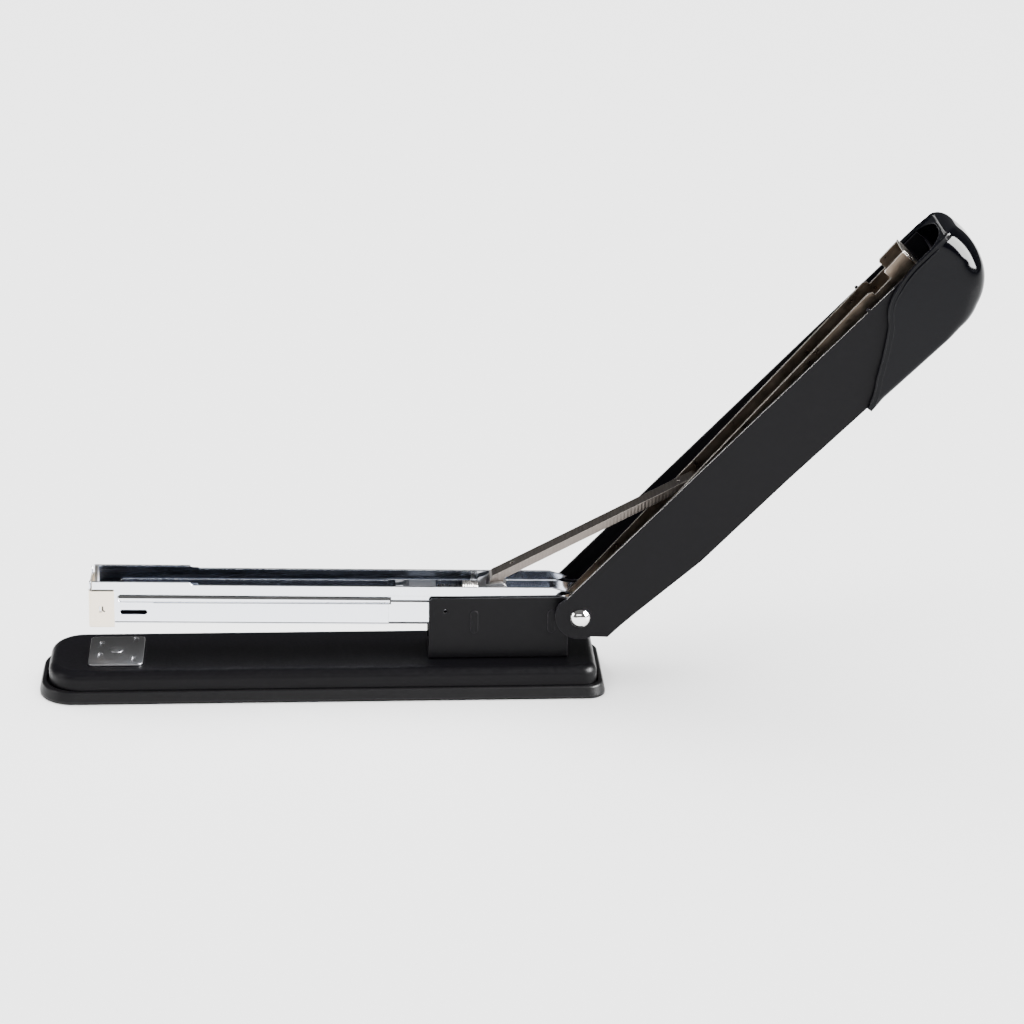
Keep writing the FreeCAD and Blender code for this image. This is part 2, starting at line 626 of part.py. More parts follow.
b = tilted("handle_shell", HANG)
s = sketch(b, "XZ_Plane", "side")
path(s, moved([(-2.0, 8.8), (-3.0, -8.2, -8.7, 1.5), (0.8, -12.6), (7.4, -12.8), (14.3, -13.3), (44.0, -16.1), (85.7, -16.2), (122.4, -17.0), (160.0, -18.2),
         (170.0, -15.6, 165.8, -17.8), (177.0, 0, 176.2, -9.0), (176.0, 8.2), (1.0, 8.2)]))
pad(b, s, D("handle_width"))
fillet(b, lambda e: mid(e).x > 3.0 and mid(e).z < -1.0 and abs(abs(mid(e).y) - V["handle_width"] / 2) < 1e-3, 0.9)
s = sketch(b, "XZ_Plane", "channel")
poly(s, moved([(-15.0, 20.0), (-15.0, -20.0), (6.5, -20.0), (6.5, -11.8), (14.3, -12.3), (44.0, -15.1), (85.7, -15.2), (122.4, -16.0), (159.5, -17.2),
         (168.8, -15.0), (174.0, -9.0), (176.0, 0.0), (176.0, 4.0), (178.0, 4.0), (178.0, 20.0)]))
pocket(b, s, D("handle_inner"))
s = sketch(b, "XZ_Plane", "pin_hole")
circle(s, 0, 0, D("pin_radius") + D("pin_fit"))
pocket(b, s)
s = sketch(b, "XY_Plane", "rivet_holes", -24.0)
circle(s, 57.0, 0, 1.5)
circle(s, 98.0, 0, 1.5)
pocket(b, s, 12.0, sym=False, rev=True)
s = sketch(b, "XZ_Plane", "nibs")
poly(s, [(147.6, 8.4), (147.9, 9.6), (148.8, 9.6), (149.2, 8.4)])
pad(b, s, D("handle_width"))
s = sketch(b, "XZ_Plane", "nib_gap")
rect(s, 140.0, 8.3, 156.0, 12.0)
pocket(b, s, D("handle_inner"))
done(b)

b = tilted("handle_cap", HANG)
s = sketch(b, "XZ_Plane", "side")
CAPSIDE = [(123.6, -18.6), (132.6, -11.8, 127.4, -15.5), (149.0, -0.6, 141.2, -6.4), (160.0, 7.0, 153.6, 4.4), (171.0, 8.9, 165.4, 8.5), (183.6, 8.9),
           (188.4, 5.0, 187.2, 8.0), (186.7, -8.6, 188.6, -1.6), (175.0, -18.5, 182.2, -14.9), (166.0, -19.7, 170.8, -19.7)]
path(s, moved(CAPSIDE))
pad(b, s, D("cap_width"))
fillet(b, lambda e: abs(abs(mid(e).y) - V["cap_width"] / 2) < 1e-3 and (mid(e).z < -12.5 or mid(e).x > 172.0) and mid(e).z < 8.7, D("cap_round"))
s = sketch(b, "XZ_Plane", "socket")
path(s, moved([(110.0, 20.0), (110.0, -16.76), (122.4, -17.05), (160.0, -18.26), (170.0, -15.66, 165.8, -17.86), (177.06, 0, 176.26, -9.06), (177.06, 20.0)]))
pocket(b, s, D("cap_inner"))
s = sketch(b, "XZ_Plane", "mouth")
path(s, [(170.0, 20.0), (170.0, -10.0), (181.0, -9.0), (186.4, 1.0, 184.9, -4.4), (186.4, 20.0)])
pocket(b, s, 22.6)
RIB = [(124.4, -17.2), (133.3, -11.1, 128.2, -14.9), (149.6, 0.2, 141.9, -5.8), (160.2, 6.3, 154.0, 3.8), (171.0, 8.0, 165.6, 7.8), (182.5, 8.0),
       (182.5, 7.1), (171.2, 7.1), (160.6, 5.5, 165.9, 6.9), (150.2, -0.6, 154.5, 3.1), (134.0, -11.8, 142.5, -6.5), (125.4, -17.2, 129.0, -15.5)]
for nm, off, rev in (("near", D("cap_width") * 0.5, False), ("far", -(D("cap_width") * 0.5), True)):
    s = sketch(b, "XZ_Plane", "border_" + nm, off)
    path(s, moved(RIB))
    pad(b, s, 0.35, sym=False, rev=rev)
done(b)

b = tilted("cap_post", HANG)
s = sketch(b, "XY_Plane", "round", -8.95)
circle(s, 179.6, 0, 1.3)
pad(b, s, 11.95, sym=False)
fillet(b, lambda e: abs(mid(e).z - 3.0) < 1e-3, 0.7)
done(b)

b = tilted("link_anchor", HANG)
s = sketch(b, "XZ_Plane", "side")
path(s, [(49.5, -14.62), (64.5, -14.66), (64.5, -13.6), (58.9, 0.2), (53.1, 0.2, 56.0, 2.2), (49.5, -13.6)])
pad(b, s, 9.2)
s = sketch(b, "XZ_Plane", "gap")
rect(s, 40.0, -13.8, 70.0, 6.0)
pocket(b, s, 7.6)
s = sketch(b, "XZ_Plane", "holes")
circle(s, D("upper_u"), -D("upper_v"), 1.5)
pocket(b, s)
s = sketch(b, "XY_Plane", "rivet_hole", -24.0)
circle(s, 57.0, 0, 1.5)
pocket(b, s, 12.0, sym=False, rev=True)
done(b)

b = tilted("handle_rivets", HANG)
b.AllowCompound = True
for nm, x, z0, r, ln in (("a_shank", 57.0, -16.1, 1.45, 2.9), ("b_shank", 98.0, -16.5, 1.45, 2.8),
                         ("a_out", 57.0, -16.5, 2.4, 0.7), ("b_out", 98.0, -16.9, 2.4, 0.72), ("a_in", 57.0, -13.75, 2.4, 0.6), ("b_in", 98.0, -14.2, 2.4, 0.6)):
    s = sketch(b, "XY_Plane", nm, z0)
    circle(s, x, 0, r)
    pad(b, s, ln, sym=False)
done(b)

b = tilted("ram_spring", HANG)
s = sketch(b, "XZ_Plane", "leaf")
path(s, [(90.0, -14.78), (90.0, -14.3), (104.0, -14.53), (140.0, 0.9, 124.0, -9.6), (144.0, 2.05, 142.2, 2.3), (146.5, 0.9), (146.2, 0.5),
         (144.0, 1.5, 145.2, 1.3), (140.5, 0.5, 142.4, 1.6), (104.0, -15.02, 124.4, -10.1)])
pad(b, s, 7.0)
s = sketch(b, "XY_Plane", "rivet_hole", -20.0)
circle(s, 98.0, 0, 1.5)
pocket(b, s, 8.0, sym=False, rev=True)
done(b)

# ---------------------------------------------------------------- ram and driver blade
RANG = -(V["handle_angle"] + V["ram_lean"])
b = tilted("ram_channel", RANG)
s = sketch(b, "XZ_Plane", "side")
path(s, [(0, -4.0), (0, 4.0, -4.0, 0), (10.0, 3.9), (152.0, 3.9), (153.4, 3.1), (153.4, 1.8), (161.2, 1.8), (161.2, 4.7), (162.0, 5.3), (170.5, 5.3), (170.5, -4.0)])
pad(b, s, D("ram_width"))
s = sketch(b, "XZ_Plane", "inside")
rect(s, -10.0, -3.3, 180.0, 9.0)
pocket(b, s, D("ram_inner"))
s = sketch(b, "XZ_Plane", "window")
rect(s, -10.0, -8.0, 136.0, 9.0)
pocket(b, s, D("ram_inner"))
s = sketch(b, "XZ_Plane", "pin_hole")
circle(s, 0, 0, D("pin_radius") + D("pin_fit"))
pocket(b, s)
s = sketch(b, "XY_Plane", "rivet_holes", -6.0)
circle(s, 163.5, -2.6, 1.05)
circle(s, 163.5, 2.6, 1.05)
pocket(b, s, 3.5, sym=False, rev=True)
done(b)

b = tilted("driver_blade", RANG)
s = sketch(b, "XZ_Plane", "foot")
poly(s, [(159.0, -3.24), (D("blade_out") - 0.1, -3.24), (D("blade_out") - 0.1, -2.64), (159.0, -2.64)])
pad(b, s, 10.7)
s = sketch(b, "XZ_Plane", "blade")
poly(s, [(D("blade_out") - D("blade_gauge"), -3.9), (D("blade_out"), -3.9), (D("blade_out"), 5.5), (D("blade_out") - D("blade_gauge"), 5.5)])
pad(b, s, 12.2)
s = sketch(b, "XY_Plane", "rivet_holes", -6.0)
circle(s, 163.5, -2.6, 1.05)
circle(s, 163.5, 2.6, 1.05)
pocket(b, s, 4.5, sym=False, rev=True)
done(b)

b = tilted("ram_rivets", RANG)
b.AllowCompound = True
for nm, z0, r, ln in (("shank", -4.3, 1.0, 2.0), ("out", -4.7, 1.7, 0.66), ("in", -2.6, 1.7, 0.6)):
    s = sketch(b, "XY_Plane", nm, z0)
    circle(s, 163.5, -2.6, r)
    circle(s, 163.5, 2.6, r)
    pad(b, s, ln, sym=False)
done(b)

# ---------------------------------------------------------------- export
doc.recompute()
for o in doc.Objects:
    if "Invalid" in o.State or "Error" in o.State:
        raise RuntimeError("bad state: " + o.Name + str(o.State))
os.makedirs("parts", exist_ok=True)
for b in NODES:
    sh = b.Shape
    if sh.isNull() or not sh.isValid() or not sh.Solids:
        raise RuntimeError("bad shape: " + b.Label)
    box = sh.BoundBox
    print("%-18s solids %d  vol %8.1f  x %.1f..%.1f y %.1f..%.1f z %.1f..%.1f" % (b.Label, len(sh.Solids), sh.Volume, box.XMin, box.XMax, box.YMin, box.YMax, box.ZMin, box.ZMax))
    sh.exportStep("parts/%s.step" % b.Label)
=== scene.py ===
import json
import math

import bmesh
import bpy
from mathutils import Matrix, Vector


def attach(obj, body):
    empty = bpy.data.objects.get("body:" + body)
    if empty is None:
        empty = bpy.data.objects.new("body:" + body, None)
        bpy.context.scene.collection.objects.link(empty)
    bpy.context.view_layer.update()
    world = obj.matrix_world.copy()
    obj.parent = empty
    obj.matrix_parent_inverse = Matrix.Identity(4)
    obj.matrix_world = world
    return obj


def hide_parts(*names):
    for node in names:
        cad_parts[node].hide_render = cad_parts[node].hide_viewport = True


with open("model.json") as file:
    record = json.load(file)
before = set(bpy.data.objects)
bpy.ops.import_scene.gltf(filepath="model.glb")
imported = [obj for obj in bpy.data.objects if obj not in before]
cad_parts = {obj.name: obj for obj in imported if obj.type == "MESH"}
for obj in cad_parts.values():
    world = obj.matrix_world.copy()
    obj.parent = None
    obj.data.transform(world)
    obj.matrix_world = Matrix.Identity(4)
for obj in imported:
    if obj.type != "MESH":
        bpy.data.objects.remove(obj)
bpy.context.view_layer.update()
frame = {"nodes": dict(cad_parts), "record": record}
MM = 0.001
P = Vector((0.0906, 0.0, 0.0282))
TILT = 1.05
HANDLE = -46.5
RAM = -49.25


# ------------------------------------------------------------------ materials
def nodes_of(m):
    m.use_nodes = True
    nt = m.node_tree
    return nt, nt.nodes["Principled BSDF"]


def material(name, color, rough, metal=0.0, coat=0.0, spec=0.5, ior=1.5, bevel=0.0):
    m = bpy.data.materials.new(name)
    nt, p = nodes_of(m)
    p.inputs["Base Color"].default_value = (*color, 1)
    p.inputs["Roughness"].default_value = rough
    p.inputs["Metallic"].default_value = metal
    p.inputs["IOR"].default_value = ior
    p.inputs["Specular IOR Level"].default_value = spec
    p.inputs["Coat Weight"].default_value = coat
    p.inputs["Coat Roughness"].default_value = 0.06
    return m, nt, p


def ramp(nt, a, b, pos=(0.35, 0.65)):
    r = nt.nodes.new("ShaderNodeValToRGB")
    r.color_ramp.elements[0].position = pos[0]
    r.color_ramp.elements[1].position = pos[1]
    r.color_ramp.elements[0].color = (*a, 1) if len(a) == 3 else (a[0],) * 3 + (1,)
    r.color_ramp.elements[1].color = (*b, 1) if len(b) == 3 else (b[0],) * 3 + (1,)
    return r


def noise(nt, scale, detail=3.0, stretch=(1, 1, 1), rough=0.55):
    co = nt.nodes.new("ShaderNodeTexCoord")
    mp = nt.nodes.new("ShaderNodeMapping")
    mp.inputs["Scale"].default_value = stretch
    n = nt.nodes.new("ShaderNodeTexNoise")
    n.inputs["Scale"].default_value = scale
    n.inputs["Detail"].default_value = detail
    n.inputs["Roughness"].default_value = rough
    nt.links.new(co.outputs["Object"], mp.inputs["Vector"])
    nt.links.new(mp.outputs["Vector"], n.inputs["Vector"])
    return n


def rough_map(nt, p, n, lo, hi):
    mr = nt.nodes.new("ShaderNodeMapRange")
    mr.inputs["From Min"].default_value = 0.3
    mr.inputs["From Max"].default_value = 0.7
    mr.inputs["To Min"].default_value = lo
    mr.inputs["To Max"].default_value = hi
    nt.links.new(n.outputs["Fac"], mr.inputs["Value"])
    nt.links.new(mr.outputs["Result"], p.inputs["Roughness"])


def bump(nt, p, n, strength, dist, radius=0.0):
    b = nt.nodes.new("ShaderNodeBump")
    b.inputs["Strength"].default_value = strength
    b.inputs["Distance"].default_value = dist
    nt.links.new(n.outputs["Fac"], b.inputs["Height"])
    if radius:
        bv = nt.nodes.new("ShaderNodeBevel")
        bv.samples = 6
        bv.inputs["Radius"].default_value = radius
        nt.links.new(bv.outputs["Normal"], b.inputs["Normal"])
    nt.links.new(b.outputs["Normal"], p.inputs["Normal"])


def painted_edge_highlight(nt, p, base, edge, radius, lo, hi):
    """Lightens the colour where the rounded normal leaves the true one: a painted highlight along the edges."""
    bv = nt.nodes.new("ShaderNodeBevel")
    bv.samples = 6
    bv.inputs["Radius"].default_value = radius
    ge = nt.nodes.new("ShaderNodeNewGeometry")
    dt = nt.nodes.new("ShaderNodeVectorMath")
    dt.operation = "DOT_PRODUCT"
    nt.links.new(bv.outputs["Normal"], dt.inputs[0])
    nt.links.new(ge.outputs["Normal"], dt.inputs[1])
    mr = nt.nodes.new("ShaderNodeMapRange")
    mr.inputs["From Min"].default_value = hi
    mr.inputs["From Max"].default_value = lo
    nt.links.new(dt.outputs["Value"], mr.inputs["Value"])
    mx = nt.nodes.new("ShaderNodeMix")
    mx.data_type = "RGBA"
    mx.inputs["A"].default_value = (*base, 1)
    mx.inputs["B"].default_value = (*edge, 1)
    nt.links.new(mr.outputs["Result"], mx.inputs["Factor"])
    nt.links.new(mx.outputs["Result"], p.inputs["Base Color"])


MATS = {}

# black painted steel: satin with a fine orange peel
m, nt, p = material("black_paint", (0.0030, 0.0028, 0.0036), 0.36, coat=0.0, spec=0.085)
n = noise(nt, 900, 2)
rough_map(nt, p, n, 0.32, 0.42)
bump(nt, p, n, 0.10, 0.00006, 0.00035)
# painted highlight: edges lightened from near-black towards dark grey
painted_edge_highlight(nt, p, (0.0030, 0.0028, 0.0036), (0.0210, 0.0200, 0.0230), 0.0005, 0.80, 0.97)
MATS["black_paint"] = m
m, nt, p = material("black_plastic", (0.0036, 0.0034, 0.0040), 0.34, spec=0.16)
n = noise(nt, 1500, 2)
rough_map(nt, p, n, 0.34, 0.46)
bump(nt, p, n, 0.14, 0.00005, 0.0004)
MATS["black_plastic"] = m
m, nt, p = material("gloss_black", (0.0014, 0.0015, 0.0026), 0.07, coat=0.0, spec=0.115)
n = noise(nt, 160, 2)
rough_map(nt, p, n, 0.05, 0.09)
bump(nt, p, n, 0.05, 0.0001, 0.0004)
MATS["gloss_black"] = m
m, nt, p = material("chrome", (0.84, 0.868, 0.925), 0.09, metal=1.0)
n = noise(nt, 60, 3, (1, 8, 8))
rough_map(nt, p, n, 0.07, 0.13)
bump(nt, p, n, 0.05, 0.00008, 0.00022)
MATS["chrome"] = m
m, nt, p = material("nose_steel", (0.88, 0.775, 0.63), 0.30, metal=1.0)
n = noise(nt, 700, 3, (1, 1, 0.1))
rough_map(nt, p, n, 0.26, 0.36)
bump(nt, p, n, 0.08, 0.00005, 0.00025)
MATS["nose_steel"] = m
for key, col, r, st in (("zinc_steel", (0.42, 0.42, 0.43), 0.32, (1, 1, 1)), ("rail_steel", (0.085, 0.095, 0.12), 0.24, (0.05, 1, 1)),
                        ("spring_wire", (0.22, 0.215, 0.21), 0.26, (1, 1, 1)), ("blade_steel", (0.70, 0.66, 0.60), 0.25, (1, 0.2, 1))):
    m, nt, p = material(key, col, r, metal=1.0)
    n = noise(nt, 500, 3, st)
    rough_map(nt, p, n, r - 0.05, r + 0.08)
    bump(nt, p, n, 0.08, 0.00005, 0.0002)
    MATS[key] = m
m, nt, p = material("anvil_steel", (0.27, 0.27, 0.28), 0.30, metal=1.0)
n = noise(nt, 800, 4)
rough_map(nt, p, n, 0.28, 0.42)
bump(nt, p, n, 0.25, 0.00008, 0.0003)
MATS["anvil_steel"] = m
m, nt, p = material("link_nickel", (0.150, 0.132, 0.118), 0.42, metal=1.0)
n = noise(nt, 420, 4, (1, 0.3, 1))
rough_map(nt, p, n, 0.36, 0.50)
co = nt.nodes.new("ShaderNodeTexCoord")
wv = nt.nodes.new("ShaderNodeTexWave")
wv.bands_direction = "X"
wv.inputs["Scale"].default_value = 260
wv.inputs["Distortion"].default_value = 0.6
nt.links.new(co.outputs["Object"], wv.inputs["Vector"])
bump(nt, p, wv, 0.5, 0.00012, 0.0002)
# painted highlight: edges lightened towards pale nickel
painted_edge_highlight(nt, p, (0.150, 0.132, 0.118), (0.75, 0.70, 0.64), 0.0003, 0.80, 0.97)
MATS["link_nickel"] = m
m, nt, p = material("ram_nickel", (0.21, 0.165, 0.128), 0.42, metal=1.0)
n = noise(nt, 300, 4, (1, 0.4, 1))
rough_map(nt, p, n, 0.26, 0.42)
bump(nt, p, n, 0.15, 0.00006, 0.0002)
# painted highlight: edges lightened towards pale warm metal
painted_edge_highlight(nt, p, (0.21, 0.165, 0.128), (0.95, 0.90, 0.82), 0.00035, 0.80, 0.97)
MATS["ram_nickel"] = m
m, nt, p = material("pin_chrome", (0.90, 0.89, 0.87), 0.06, metal=1.0)
n = noise(nt, 300, 2)
rough_map(nt, p, n, 0.04, 0.10)
bump(nt, p, n, 0.04, 0.00005)
MATS["pin_chrome"] = m
m, nt, p = material("grey_plastic", (0.10, 0.10, 0.11), 0.35)
n = noise(nt, 900, 2)
rough_map(nt, p, n, 0.3, 0.42)
bump(nt, p, n, 0.1, 0.00005, 0.0002)
MATS["grey_plastic"] = m
# bright metal: the handle's edge strips use it as a painted highlight, the tail coils as bright wire
m, nt, p = material("bright_metal", (0.85, 0.83, 0.80), 0.25, metal=1.0)
n = noise(nt, 500, 2)
rough_map(nt, p, n, 0.2, 0.3)
MATS["bright_metal"] = m
# near-black for the painted shade strips on the magazine's sides, also the colour of the nose mark
m, nt, p = material("shade_and_mark_black", (0.004, 0.004, 0.004), 0.8)
MATS["shade_and_mark_black"] = m

record = frame["record"]
slot_of = {s["node"]: s["material_slot"] for s in record["subparts"]}
for name, obj in frame["nodes"].items():
    mat = MATS.get(slot_of[name])
    if mat:
        for k in range(len(obj.material_slots)):
            obj.material_slots[k].material = mat


# ------------------------------------------------------------------ mesh helpers
def frame_at(angle):
    """Matrix of a group's own frame: origin on the main pin, turned about +Y."""
    return Matrix.Translation(P) @ Matrix.Rotation(math.radians(angle), 4, "Y")


def finish_mesh(name, bm, mat, body, mtx=None, smooth=40.0):
    bmesh.ops.recalc_face_normals(bm, faces=bm.faces)
    me = bpy.data.meshes.new(name)
    bm.to_mesh(me)
    bm.free()
    if mtx is not None:
        me.transform(mtx)
    ob = bpy.data.objects.new(name, me)
    bpy.context.scene.collection.objects.link(ob)
    me.materials.append(mat)
    me.shade_smooth()
    if smooth:
        me.set_sharp_from_angle(angle=math.radians(smooth))
    if body:
        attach(ob, body)
    return ob


def prism(name, pts, y0, y1, mat, body, mtx=None, bevel=0.0, smooth=40.0):
    """Closed outline in XZ (mm) carried from y0 to y1."""
    bm = bmesh.new()
    a = [bm.verts.new((x * MM, y0 * MM, z * MM)) for x, z in pts]
    b = [bm.verts.new((x * MM, y1 * MM, z * MM)) for x, z in pts]
    bm.faces.new(a)
    bm.faces.new(list(reversed(b)))
    for i in range(len(pts)):
        j = (i + 1) % len(pts)
        bm.faces.new((a[j], a[i], b[i], b[j]))
    if bevel:
        bmesh.ops.recalc_face_normals(bm, faces=bm.faces)
        bmesh.ops.bevel(bm, geom=list(bm.edges), offset=bevel * MM, segments=2, affect="EDGES", clamp_overlap=True)
    return finish_mesh(name, bm, mat, body, mtx, smooth)


def tube(name, pts, r, mat, body, mtx=None, sides=10):
    """Round wire through points (mm)."""
    bm = bmesh.new()
    pts = [Vector(q) for q in pts]
    rings = []
    up = Vector((0, 1, 0))
    for i, q in enumerate(pts):
        d = (pts[min(i + 1, len(pts) - 1)] - pts[max(i - 1, 0)]).normalized()
        s = d.cross(up)
        if s.length < 1e-3:
            s = d.cross(Vector((0, 0, 1)))
        s.normalize()
        t = d.cross(s).normalized()
        rings.append([bm.verts.new((q + (s * math.cos(2 * math.pi * k / sides) + t * math.sin(2 * math.pi * k / sides)) * r) * MM) for k in range(sides)])
    for a, b in zip(rings, rings[1:]):
        for k in range(sides):
            bm.faces.new((a[k], a[(k + 1) % sides], b[(k + 1) % sides], b[k]))
    bm.faces.new(list(reversed(rings[0])))
    bm.faces.new(rings[-1])
    return finish_mesh(name, bm, mat, body, mtx, 60)




# ------------------------------------------------------------------ handle cap: moulded shell with rounded corners
def arc3(a, m, b, n):
    """Points of the arc from a through m to b, leaving a out."""
    d = 2 * (a[0] * (m[1] - b[1]) + m[0] * (b[1] - a[1]) + b[0] * (a[1] - m[1]))
    sa, sm, sb = (q[0] ** 2 + q[1] ** 2 for q in (a, m, b))
    ux = (sa * (m[1] - b[1]) + sm * (b[1] - a[1]) + sb * (a[1] - m[1])) / d
    uy = (sa * (b[0] - m[0]) + sm * (a[0] - b[0]) + sb * (m[0] - a[0])) / d
    r = math.hypot(a[0] - ux, a[1] - uy)
    ta, tm, tb = (math.atan2(q[1] - uy, q[0] - ux) for q in (a, m, b))
    up_m, up_b = (tm - ta) % (2 * math.pi), (tb - ta) % (2 * math.pi)
    sweep = up_b if up_m <= up_b else up_b - 2 * math.pi
    return [(ux + r * math.cos(ta + sweep * k / n), uy + r * math.sin(ta + sweep * k / n)) for k in range(1, n + 1)]


def even(pts, n):
    """n + 1 points spaced evenly along a polyline."""
    pts = [Vector((q[0], q[1])) for q in pts]
    ln = [0.0]
    for a, b in zip(pts, pts[1:]):
        ln.append(ln[-1] + (b - a).length)
    out = []
    j = 0
    for k in range(n + 1):
        s = ln[-1] * k / n
        while j < len(ln) - 2 and ln[j + 1] < s:
            j += 1
        t = (s - ln[j]) / max(ln[j + 1] - ln[j], 1e-9)
        out.append(pts[j].lerp(pts[j + 1], min(max(t, 0), 1)))
    return out


DU, DV = 0.6, 0.42
HALF = 13.9
RINGS = 72
# outer skin from the rear edge to the lip, and the rim that each section's legs end on
SKIN = even([(123.6, -18.55), (145.0, -19.15), (166.0, -19.65)]
            + arc3((166.0, -19.65), (170.8, -19.65), (175.0, -18.45), 6)
            + arc3((175.0, -18.45), (182.15, -14.85), (186.65, -8.6), 10)
            + arc3((186.65, -8.6), (188.55, -1.6), (188.35, 5.0), 10)
            + arc3((188.35, 5.0), (187.15, 8.0), (183.9, 8.85), 6), RINGS)
RIM = even([(123.4, -16.9)] + arc3((123.4, -16.9), (127.6, -15.1), (132.6, -11.6), 6)
           + arc3((132.6, -11.5), (141.2, -6.1), (149.0, -0.3), 8)
           + arc3((149.0, -0.3), (153.6, 4.6), (160.0, 7.4), 8)
           + arc3((160.0, 7.4), (165.4, 8.7), (171.0, 9.1), 6) + [(182.6, 9.1), (183.6, 9.0)], RINGS)


def cap_rings(bm, thick):
    rings = []
    for k in range(RINGS + 1):
        a, b = SKIN[k], RIM[k]
        leg = b - a
        depth = leg.length
        out = leg.normalized()
        front = min(1.0, max(0.0, (a.x - 160.0) / 27.0))
        start = min(1.0, k / 5.0)
        r = min(2.4 + 6.9 * front, depth * 0.85) * start + 0.12
        half = HALF - thick - 0.5 * front ** 3
        r = max(r - thick * 0.7, 0.1)
        base = a + out * min(thick, depth * 0.5)
        top = max(depth - min(thick, depth * 0.5), r + 0.02)
        sec = []
        for j in range(10):
            sec.append((-half, base + out * (top + (r - top) * j / 10)))
        for j in range(9):
            q = math.pi / 2 * j / 8
            sec.append((-half + r - r * math.cos(q), base + out * (r - r * math.sin(q))))
        for j in range(1, 8):
            sec.append((-half + r + 2 * (half - r) * j / 8, base))
        for j in range(9):
            q = math.pi / 2 * (1 - j / 8)
            sec.append((half - r + r * math.cos(q), base + out * (r - r * math.sin(q))))
        for j in range(1, 11):
            sec.append((half, base + out * (r + (top - r) * j / 10)))
        rings.append([bm.verts.new(((c.x + DU) * MM, y * MM, (c.y + DV) * MM)) for y, c in sec])
    return rings


HM = frame_at(HANDLE)
bm = bmesh.new()
outer, inner = cap_rings(bm, 0.0), cap_rings(bm, 1.15)
for rs in (outer, inner):
    for a, b in zip(rs, rs[1:]):
        for j in range(len(a) - 1):
            bm.faces.new((a[j], a[j + 1], b[j + 1], b[j]))
for e in (0, -1):
    for j in range(len(outer[0]) - 1):
        bm.faces.new((outer[e][j], outer[e][j + 1], inner[e][j + 1], inner[e][j]))
    for k in range(RINGS):
        bm.faces.new((outer[k][e], outer[k + 1][e], inner[k + 1][e], inner[k][e]))
cap = finish_mesh("cap_moulding", bm, MATS["gloss_black"], "handle", HM, 50)
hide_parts("handle_cap")
# lip that rounds the mouth's front corners into an oval
near_in = [(170.5, -12.75)] + arc3((170.5, -12.75), (180.2, -9.3), (183.0, 0.0), 12)
near_out = [(170.5 + 13.1 * min(1.0, k / 8.0), -13.35 + 0.35 * min(1.0, k / 8.0) + (0 if k <= 8 else 13.0 * (k - 8) / 4.0)) for k in range(13)]
lip_in = near_in + [(u, -y) for u, y in reversed(near_in[:-1])]
lip_out = near_out + [(u, -y) for u, y in reversed(near_out[:-1])]
bm = bmesh.new()
loops = [[bm.verts.new(((u + DU) * MM, y * MM, (v + DV) * MM)) for u, y in pts]
         for pts, v in ((lip_in, 7.6), (lip_in, 8.75), (lip_out, 8.75), (lip_out, 7.6))]
for a, b in zip(loops, loops[1:] + loops[:1]):
    for k in range(len(a) - 1):
        bm.faces.new((a[k], a[k + 1], b[k + 1], b[k]))
for k in (0, -1):
    bm.faces.new([lp[k] for lp in loops])
bmesh.ops.recalc_face_normals(bm, faces=bm.faces)
finish_mesh("mouth_lip", bm, MATS["gloss_black"], "handle", HM, 60)
# raised rim and border tubes that follow the cap's open edge and the mouth, on each side
for side in (-1, 1):
    for name, off, rad in (("rim", 0.15, 0.5), ("border", 1.7, 0.36)):
        line = []
        for i, q in enumerate(RIM):
            d = (RIM[min(i + 1, RINGS)] - RIM[max(i - 1, 0)]).normalized()
            w = q + Vector((d.y, -d.x)) * off
            if 125.2 < w.x < 182.5:
                sink = 0.22 + 0.5 * min(1.0, max(0.0, (w.x - 160.0) / 27.0)) ** 3 + 0.16 * max(0.0, w.x - 177.0)
                line.append((w.x + DU, side * (HALF - sink), w.y + DV))
        tube("cap_%s_%s" % (name, "near" if side < 0 else "far"), line, rad, MATS["gloss_black"], "handle", HM, 8)

# painted highlight: bright metal strips along the handle's opening stand in for the highlight on its edges
for side in (-1, 1):
    y0, y1 = sorted((side * 12.68, side * 12.46))
    prism("handle_highlight_strip_%s" % ("near" if side < 0 else "far"), [(2.0, 8.52), (160.0, 8.52), (160.0, 8.66), (2.0, 8.66)],
          y0, y1, MATS["bright_metal"], "handle", HM, 0, 30)

# follower spring's end coils, ahead of the link's lower end
TM = frame_at(TILT)
tube("tail_coils", [(-35.9 - 5.6 * k / 140, 2.6 * math.cos(k / 20 * 2 * math.pi), 6.0 + 2.3 * math.sin(k / 20 * 2 * math.pi)) for k in range(141)],
     0.36, MATS["bright_metal"], "follower", TM, 8)

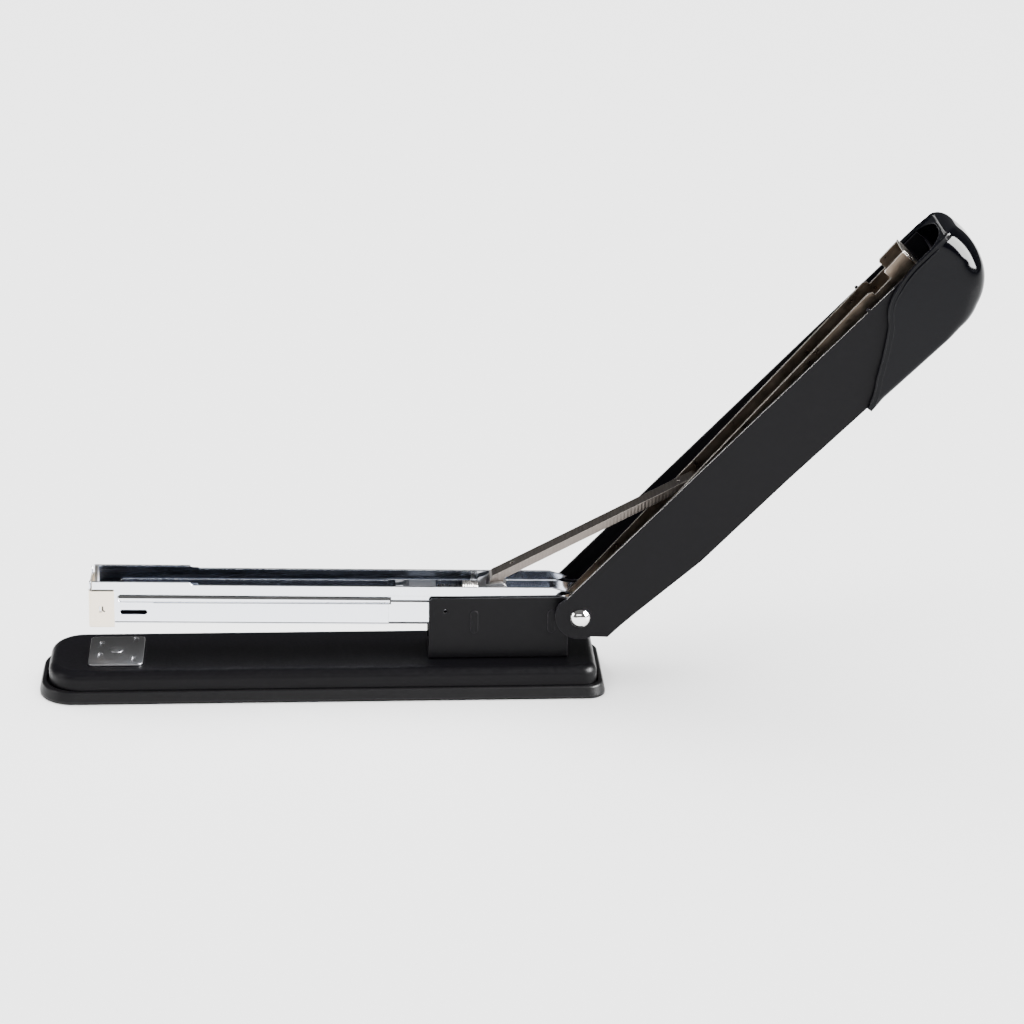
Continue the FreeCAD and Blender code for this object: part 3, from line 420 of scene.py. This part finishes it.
# curled ears at the magazine's mouth, painted shade along its sides (thin near-black strips standing for the shadow in
# the pressed grooves, the step and the lower edge) and the mark on the nose
for side in (-1, 1):
    word = "near" if side < 0 else "far"
    pts = [(-171.85, side * 6.9, 7.4), (-171.85, side * 6.95, 8.4)]
    for k in range(13):
        q = k / 12 * math.pi * 1.35
        pts.append((-171.85, side * (6.9 - 0.5 * (1 - math.cos(q))), 9.15 + 1.1 * math.sin(q)))
    tube("nose_ear_" + word, pts, 0.3, MATS["chrome"], "magazine", TM, 8)
    y0, y1 = sorted((side * 7.86, side * 7.70))
    # painted shade: near-black strips just proud of each side
    for name, shade_outline in (("nose_slot", [(-171.0, 7.3), (-163.6, 7.3), (-163.6, 7.8), (-171.0, 7.8)]),
                       ("upper_seam", [(-162.5, 4.95), (-161.9, 5.45), (-67.0, 5.2), (-67.0, 4.3), (-161.6, 4.5)]),
                       ("lower_seam", [(-150.0, 2.75), (-150.0, 2.95), (-67.0, 3.05), (-67.0, 2.8)]),
                       ("seam_step", [(-67.0, 2.8), (-67.0, 5.2), (-66.6, 5.2), (-66.6, 2.8)]),
                       ("rear_seam", [(-66.6, 3.7), (-66.6, 4.15), (-40.0, 4.1), (-40.0, 3.65)]),
                       ("foot_seam", [(-163.3, -4.62), (-163.3, -4.3), (-40.0, -4.3), (-40.0, -4.62)])):
        prism(name + "_" + word, shade_outline, y0, y1, MATS["shade_and_mark_black"], "magazine", TM, 0, 30)
    # dark steel sheets on both inner walls of the magazine, a guess; they keep the inside of the channel dark
    y0, y1 = sorted((side * 6.99, side * 6.93))
    prism("inner_dark_sheet_" + word, [(-169.5, 2.4), (-169.5, 10.2), (-134.5, 10.2), (-134.0, 9.3), (-38.0, 9.3), (-38.0, 2.4)], y0, y1,
          MATS["rail_steel"], "magazine", TM, 0, 30)
prism("nose_mark", [(-167.7, 1.7), (-167.25, 1.7), (-167.15, 0.2), (-166.5, -0.25), (-166.65, -0.6), (-167.75, -0.1)], -8.44, -8.36,
      MATS["shade_and_mark_black"], "magazine", TM, 0, 30)



# ------------------------------------------------------------------ camera, light and floor
def look():
    a, e, roll = (math.radians(v) for v in (3.836, 22.666, 0.956))
    F = Vector((math.sin(a) * math.cos(e), math.cos(a) * math.cos(e), -math.sin(e)))
    R = Vector((math.cos(a), -math.sin(a), 0))
    U = R.cross(F)
    C = Vector((0.06671, 0, 0.063768)) - F * 1.081249
    Rc = R * math.cos(roll) + U * math.sin(roll)
    Uc = U * math.cos(roll) - R * math.sin(roll)
    cam = bpy.data.cameras.new("camera")
    cam.sensor_width = 36.0
    cam.lens = 3078.258 * 36.0 / 1024.0
    cam.clip_start = 0.01
    ob = bpy.data.objects.new("camera", cam)
    bpy.context.scene.collection.objects.link(ob)
    m = Matrix((Rc, Uc, -F)).transposed().to_4x4()
    m.translation = C
    ob.matrix_world = m
    bpy.context.scene.camera = ob


look()


def area(name, loc, target, sx, sy, power, color=(1, 1, 1)):
    lt = bpy.data.lights.new(name, "AREA")
    lt.shape = "RECTANGLE"
    lt.size, lt.size_y = sx, sy
    lt.energy = power
    lt.color = color
    ob = bpy.data.objects.new(name, lt)
    bpy.context.scene.collection.objects.link(ob)
    ob.location = loc
    d = Vector(target) - Vector(loc)
    ob.rotation_euler = d.to_track_quat("-Z", "Y").to_euler()
    return ob


sky = area("sky", (0.0, 0.6, 2.6), (0.0, 0.5, 0.0), 5.0, 5.0, 560.0)
sky.visible_glossy = False
area("front", (-0.25, -1.5, 0.75), (0.05, 0, 0.06), 1.2, 0.35, 7.0)
strip = area("cap_window", (0.80, -0.30, 0.46), (0.215, -0.01, 0.145), 0.55, 0.55, 110.0)
strip.visible_diffuse = False
left = area("left", (-1.0, -0.25, 0.35), (0.0, 0, 0.05), 0.35, 0.5, 5.0)
left.visible_diffuse = False

w = bpy.data.worlds.new("world")
bpy.context.scene.world = w
w.use_nodes = True
bg = w.node_tree.nodes["Background"]
bg.inputs["Color"].default_value = (1, 1, 1, 1)
bg.inputs["Strength"].default_value = 0.16

bm = bmesh.new()
bmesh.ops.create_grid(bm, x_segments=1, y_segments=1, size=6.0)
fl, nt, p = material("floor", (0.93, 0.93, 0.93), 0.7, spec=0.2)
floor = finish_mesh("floor", bm, fl, None, Matrix.Translation((0, 0, -0.0001)), 0)
